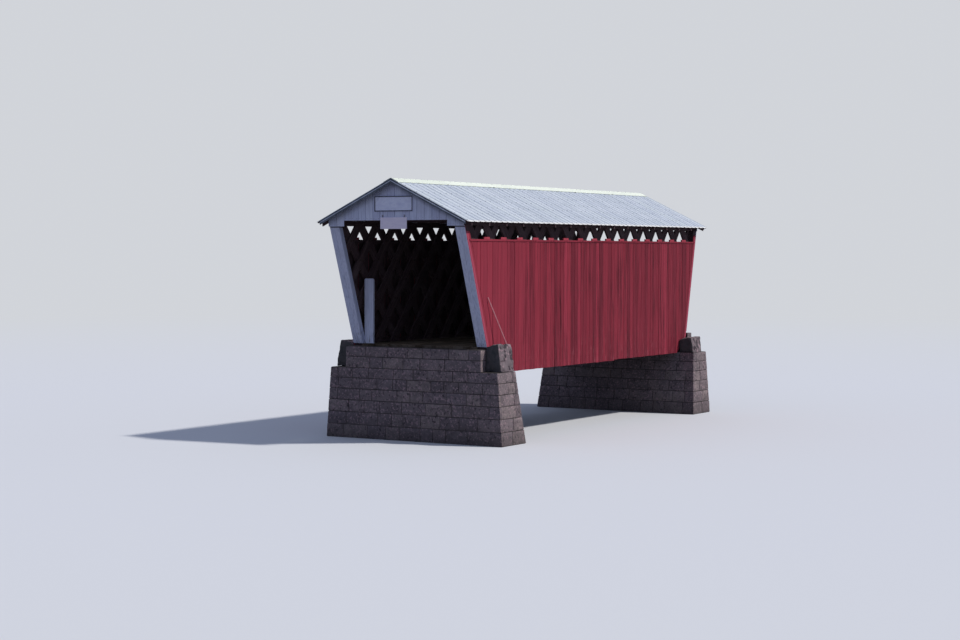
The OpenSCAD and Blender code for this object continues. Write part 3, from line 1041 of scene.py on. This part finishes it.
barn_white = finish("weathered white barn paint", 0.75)
colour(barn_white, shades(
    barn_white, each_piece(barn_white),
    (0.0, 192, 196, 222), (0.3, 210, 214, 236), (0.6, 200, 206, 231), (1.0, 216, 220, 240)))
grime = patches(barn_white, (0.05, 0.05, 0.7), 0.48, 0.75, 0.0, 0.6, 6.0)
lay_over(barn_white, grime, tint(148, 154, 182))
chalk = patches(barn_white, (0.5, 0.5, 0.4), 0.5, 0.7, 0.0, 0.4, 3.0)
lay_over(barn_white, chalk, tint(186, 190, 210))
splash = part_of(barn_white, axis_place(barn_white, "Z"), deck_z + 0.7, deck_z, 0.0, 0.8)
bare_spots = patches(barn_white, (0.04, 0.04, 0.2), 0.52, 0.66, detail=6.0)
lay_over(barn_white, together(barn_white, splash, bare_spots), tint(118, 111, 108))
head_z = gable_low.z
# A dark band at the heads of the jambs, just under the gable boards, is painted shadow.
jamb_head_shadow = part_of(barn_white, axis_place(barn_white, "Z"), head_z - 0.045, head_z - 0.035)
below_gable = part_of(barn_white, axis_place(barn_white, "Z"), head_z + 0.001, head_z - 0.001, 0.0, 0.85)
lay_over(barn_white, together(barn_white, jamb_head_shadow, below_gable), tint(70, 70, 84))
# Under each slope of the roof the gable boards darken in a band: painted shade from the overhang, deeper
# under the right slope.
for side, shade_strength in ((1, 0.8), (-1, 0.45)):
    below_slope = sloping_place(barn_white, "X", side * math.tan(roof_turn))
    shade_under_roof = part_of(barn_white, below_slope, ridge_z - 0.32, ridge_z - 0.12, 0.0, shade_strength)
    lay_over(barn_white, shade_under_roof, tint(96, 104, 124))
relief(barn_white, 0.002, mottle(barn_white, (0.02, 0.02, 0.6), 6.0))


def upright_boards(count, left, right, foot):
    boards = []
    width = (right - left) / count
    for number in range(count):
        middle = (left + (number + 0.5) * width, gable_y, (foot + ridge_z) / 2)
        boards.append(block((width - gable_gap, gable_thick, ridge_z - foot), middle))
    return boards


inner_x = half_wall - leg_wide
boards = upright_boards(leg_boards, -half_wall, -inner_x, gable_low.z)
boards += upright_boards(middle_boards, -inner_x, inner_x, opening_top)
boards += upright_boards(leg_boards, inner_x, half_wall, gable_low.z)
chance = random.Random(31)
nails = []
gable_nail_y = gable_low.y - wall_nail_head / 4
gable_nail = pin(wall_nail_radius, wall_nail_head, turn=(quarter_turn, 0, 0))
for board in boards:
    middle_x = sum(corner.co.x for corner in board.data.vertices) / len(board.data.vertices)
    foot = min(corner.co.z for corner in board.data.vertices)
    slope_z = ridge_z - abs(middle_x) * math.tan(roof_turn)
    for z in (foot + nail_above_foot, slope_z - nail_below_slope):
        for aside in nail_asides:
            place = (middle_x + aside, gable_nail_y, z + chance.uniform(-0.008, 0.008))
            nails.append(another(gable_nail, place))
    board.location.y = chance.uniform(-0.002, 0.002)
near_gable = gather(boards, "near_gable_boards")
for side in (-1, 1):
    saw(near_gable, (0, 0, ridge_z - under_laths), (side * math.sin(roof_turn), 0, math.cos(roof_turn)))
ease_edges(near_gable, 0.003)
near_gable_nails = gather(nails, "near_gable_nails")
scrap(gable_nail)
far_gable = turned_copy(near_gable, "far_gable_boards")
far_gable_nails = turned_copy(near_gable_nails, "far_gable_nails")
for place, gable, gable_nails in (
        ("near", near_gable, near_gable_nails), ("far", far_gable, far_gable_nails)):
    fit(gable, "white_paint", barn_white, place + "_gable")
    fit(gable_nails, "white_paint", iron)
recoat(near_gable, bare_wood, lambda face: face.normal.y > 0.5)
recoat(far_gable, bare_wood, lambda face: face.normal.y < -0.5)

# Jambs
# A pair of raked white boards covers the end post on each side of the portal, and a third
# returns around its edge into the bridge. The outer edges are painted red with the walls.
jamb_low, jamb_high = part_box("near_right_jamb")
jamb_thick = 0.025
jamb_return = 0.15
jamb_gap = 0.005
jamb_blank = 5.0
jamb_board = (jamb_high.x - jamb_low.x) / 2
middle_z = (jamb_low.z + jamb_high.z) / 2
for end, place in ((-1, "near"), (1, "far")):
    for side, word in sides:
        facing = -side * end
        pieces = []
        for number in range(2):
            x = facing * (jamb_low.x + (number + 0.5) * jamb_board)
            pieces.append(block((jamb_board - jamb_gap, jamb_thick, jamb_blank), (x, -jamb_thick / 2, 0)))
        x = facing * (jamb_low.x + jamb_thick / 2)
        pieces.append(block((jamb_thick, jamb_return, jamb_blank), (x, jamb_return / 2, 0)))
        jamb = gather(pieces, place + "_" + word + "_jamb_boards")
        score(jamb, 2, [-1.5, -0.5, 0.5, 1.5])
        jamb.rotation_euler.x = rake_turn[end]
        jamb.location = (0, -rake_y(end, middle_z), middle_z)
        set_down(jamb)
        saw(jamb, (0, 0, jamb_low.z), (0, 0, -1))
        saw(jamb, (0, 0, jamb_high.z), (0, 0, 1))
        ease_edges(jamb, 0.004)
        roughen(jamb, 0.006, 0.7, "Y")
        if end > 0:
            jamb.rotation_euler.z = math.pi
            set_down(jamb)
        fit(jamb, "white_paint", barn_white, place + "_" + word + "_jamb")
        recoat(jamb, barn_red, lambda face: abs(face.center.x) > half_wall - 0.003)

# Upper board
# A plain white painted panel is screwed flat against the boards of the near gable. A frame of
# four thin strips, painted dark grey, is fixed around its face.
frame_wide = 0.030
frame_thick = 0.010
panel_low, panel_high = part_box("upper_board")
panel_middle = (panel_low + panel_high) / 2
panel_size = panel_high - panel_low
panel = block(panel_size, panel_middle)
ease_edges(panel, 0.004, 2)
panel.name = "upper_board_panel"
board_strokes = ((0.3, 0.02, 0.02), 5.0)
panel_paint = cloudy(
    "aged white panel paint", (0.65,), ((0.25, 0.1, 0.12), 5.0), board_strokes, 0.001,
    (0.3, 210, 214, 240), (0.6, 229, 232, 252), (0.8, 194, 198, 226))
strips = []
front_y = panel_low.y - frame_thick / 2
inner_width = panel_size.x - 2 * frame_wide
for side in (-1, 1):
    x = panel_middle.x + side * (panel_size.x - frame_wide) / 2
    strips.append(block((frame_wide, frame_thick, panel_size.z), (x, front_y, panel_middle.z)))
    z = panel_middle.z + side * (panel_size.z - frame_wide) / 2
    strips.append(block((inner_width, frame_thick, frame_wide), (panel_middle.x, front_y, z)))
panel_frame = gather(strips, "upper_board_frame")
ease_edges(panel_frame, 0.002, 2)
frame_paint = cloudy(
    "dark grey frame paint", (0.65,), (0.1, 5.0), (0.03, 4.0), 0.001,
    (0.3, 62, 64, 76), (0.7, 92, 94, 108))
fit(panel, "white_paint", panel_paint, "upper_board")
fit(panel_frame, "white_paint", frame_paint)

# Hanging board
# A smaller pinkish board hangs from the gable over the middle of the opening, by a short chain
# of three iron links at each end. It is one sawn board with eased edges, painted plain.
link_radius = 0.017
link_thick = 0.0035
link_inset = 0.085
link_count = 3
hang_low, hang_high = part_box("hanging_board")
hang_board = block(hang_high - hang_low, (hang_low + hang_high) / 2)
ease_edges(hang_board, 0.004, 2)
hang_board.name = "hanging_board_panel"
links = []
for x in (hang_low.x + link_inset, hang_high.x - link_inset):
    for number in range(link_count):
        z = hang_high.z + link_radius * (0.4 + 1.6 * number)
        bpy.ops.mesh.primitive_torus_add(
            major_radius=link_radius, minor_radius=link_thick, major_segments=16, minor_segments=8,
            location=(x, hang_low.y + link_thick, z), rotation=(quarter_turn, 0, number % 2 * quarter_turn))
        links.append(bpy.context.object)
hang_links = gather(links, "hanging_board_links")
smooth(hang_links, 60)
pink_paint = cloudy(
    "faded pinkish board paint", (0.65,), ((0.3, 0.1, 0.1), 5.0), board_strokes, 0.001,
    (0.3, 230, 220, 238), (0.6, 240, 230, 244), (0.8, 216, 204, 224))
fit(hang_board, "white_paint", pink_paint, "hanging_board")
fit(hang_links, "white_paint", iron)

# Guard plank
# One white plank stands on the deck inside the left jamb, to guard the truss there. Its top
# corners are clipped and its edges are knocked round.
plank_low, plank_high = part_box("guard_plank")
clip = 0.04
guard = block(plank_high - plank_low, (plank_low + plank_high) / 2)
score(guard, 2, [plank_low.z + 0.4 * step for step in range(1, 5)])
for side, x in ((-1, plank_low.x), (1, plank_high.x)):
    saw(guard, (x, 0, plank_high.z - clip), (side, 0, 1))
ease_edges(guard, 0.006, 2)
roughen(guard, 0.005, 0.3)
guard.name = "guard_plank_board"
fit(guard, "white_paint", barn_white, "guard_plank")

# Leaning batten
# A thin loose batten with faded paint stands on the right cheek stone and leans on the wall.
# It is sawn softwood, a little bowed with age.
batten_foot = Vector((2.83, -6.27, cheek_high.z - 0.02))
batten_head = Vector((2.525, -6.89, deck_z + 1.53))
batten_line = batten_head - batten_foot
batten = block((0.034, 0.018, batten_line.length), (0, 0, 0))
score(batten, 2, [-0.4, 0, 0.4])
ease_edges(batten, 0.003)
roughen(batten, 0.012, 0.5, "X")
batten.rotation_euler = batten_line.to_track_quat("Z", "X").to_euler()
batten.location = (batten_foot + batten_head) / 2
set_down(batten)
batten.name = "leaning_batten"
batten_paint = cloudy(
    "faded batten paint", (0.85,), ((0.02, 0.02, 0.15), 5.0), ((0.01, 0.01, 0.2), 4.0), 0.001,
    (0.3, 168, 92, 104), (0.5, 196, 126, 134), (0.7, 178, 140, 140))
fit(batten, "red_paint", batten_paint)

# Floor, light and camera
# The bridge stands on a plain pale floor that runs into a pale backdrop, under a high sun from
# the right and a little behind, so that the boarded side is lit and the portal is in bluish shade.
sun_strength = 2.9
sun_height = math.radians(47)
sun_side = math.radians(110)
sky_colour = (0.24, 0.287, 0.42, 1.0)
pale_colour = (0.64, 0.66, 0.70, 1.0)
floor_pale = (0.68, 0.69, 0.71, 1.0)
floor_glow = (0.20, 0.20, 0.21, 1.0)
fade_from = 25
fade_to = 110


def seen_directly(look):
    """Is 1 for the camera's own rays and for what shows in gloss or glass, and 0 for the rest."""
    path = node(look, "LightPath")
    amount = path.outputs["Is Camera Ray"]
    for name in ("Is Glossy Ray", "Is Transmission Ray"):
        amount = reckon(look, "MAXIMUM", amount, path.outputs[name])
    return amount


bpy.ops.mesh.primitive_circle_add(vertices=96, radius=900, fill_type="NGON")
floor = bpy.context.object
floor.name = "floor"
floor_look = finish("pale floor", 0.95)
direct = seen_directly(floor_look)
colour(floor_look, coat(floor_look, direct, floor_glow, floor_pale))
reach = node(floor_look, "VectorMath", Vector=node(floor_look, "TexCoord").outputs["Object"])
reach.operation = "LENGTH"
haze = together(floor_look, part_of(floor_look, reach.outputs["Value"], fade_from, fade_to), direct)
glow = node(floor_look, "Emission", Color=pale_colour)
into_backdrop = node(floor_look, "MixShader", Fac=haze)
feed(floor_look, shader(floor_look).outputs["BSDF"], into_backdrop.inputs[1])
feed(floor_look, glow.outputs["Emission"], into_backdrop.inputs[2])
surface = floor_look.node_tree.nodes["Material Output"].inputs["Surface"]
feed(floor_look, into_backdrop.outputs["Shader"], surface)
floor.data.materials.append(floor_look)

bpy.ops.object.light_add(type="SUN", rotation=(quarter_turn - sun_height, 0, sun_side))
sun = bpy.context.object
sun.name = "sun"
sun.data.energy = sun_strength
sun.data.angle = math.radians(3)
sun.data.color = (1.0, 0.97, 0.93)

world = bpy.data.worlds.new("pale backdrop")
bpy.context.scene.world = world
world.use_nodes = True
backdrop = coat(world, seen_directly(world), sky_colour, pale_colour)
feed(world, backdrop, world.node_tree.nodes["Background"].inputs["Color"])

camera_place = (32.268, -55.857, 5.913)
camera_left = math.radians(31.52)
camera_down = math.radians(2.074)
camera_roll = math.radians(-0.093)
camera_turn = (quarter_turn - camera_down, camera_roll, camera_left)
bpy.ops.object.camera_add(location=camera_place, rotation=camera_turn)
camera = bpy.context.object
camera.data.sensor_width = 36
camera.data.lens = 70.19
camera.data.clip_end = 2000
bpy.context.scene.camera = camera
bpy.context.scene.view_settings.view_transform = "Standard"
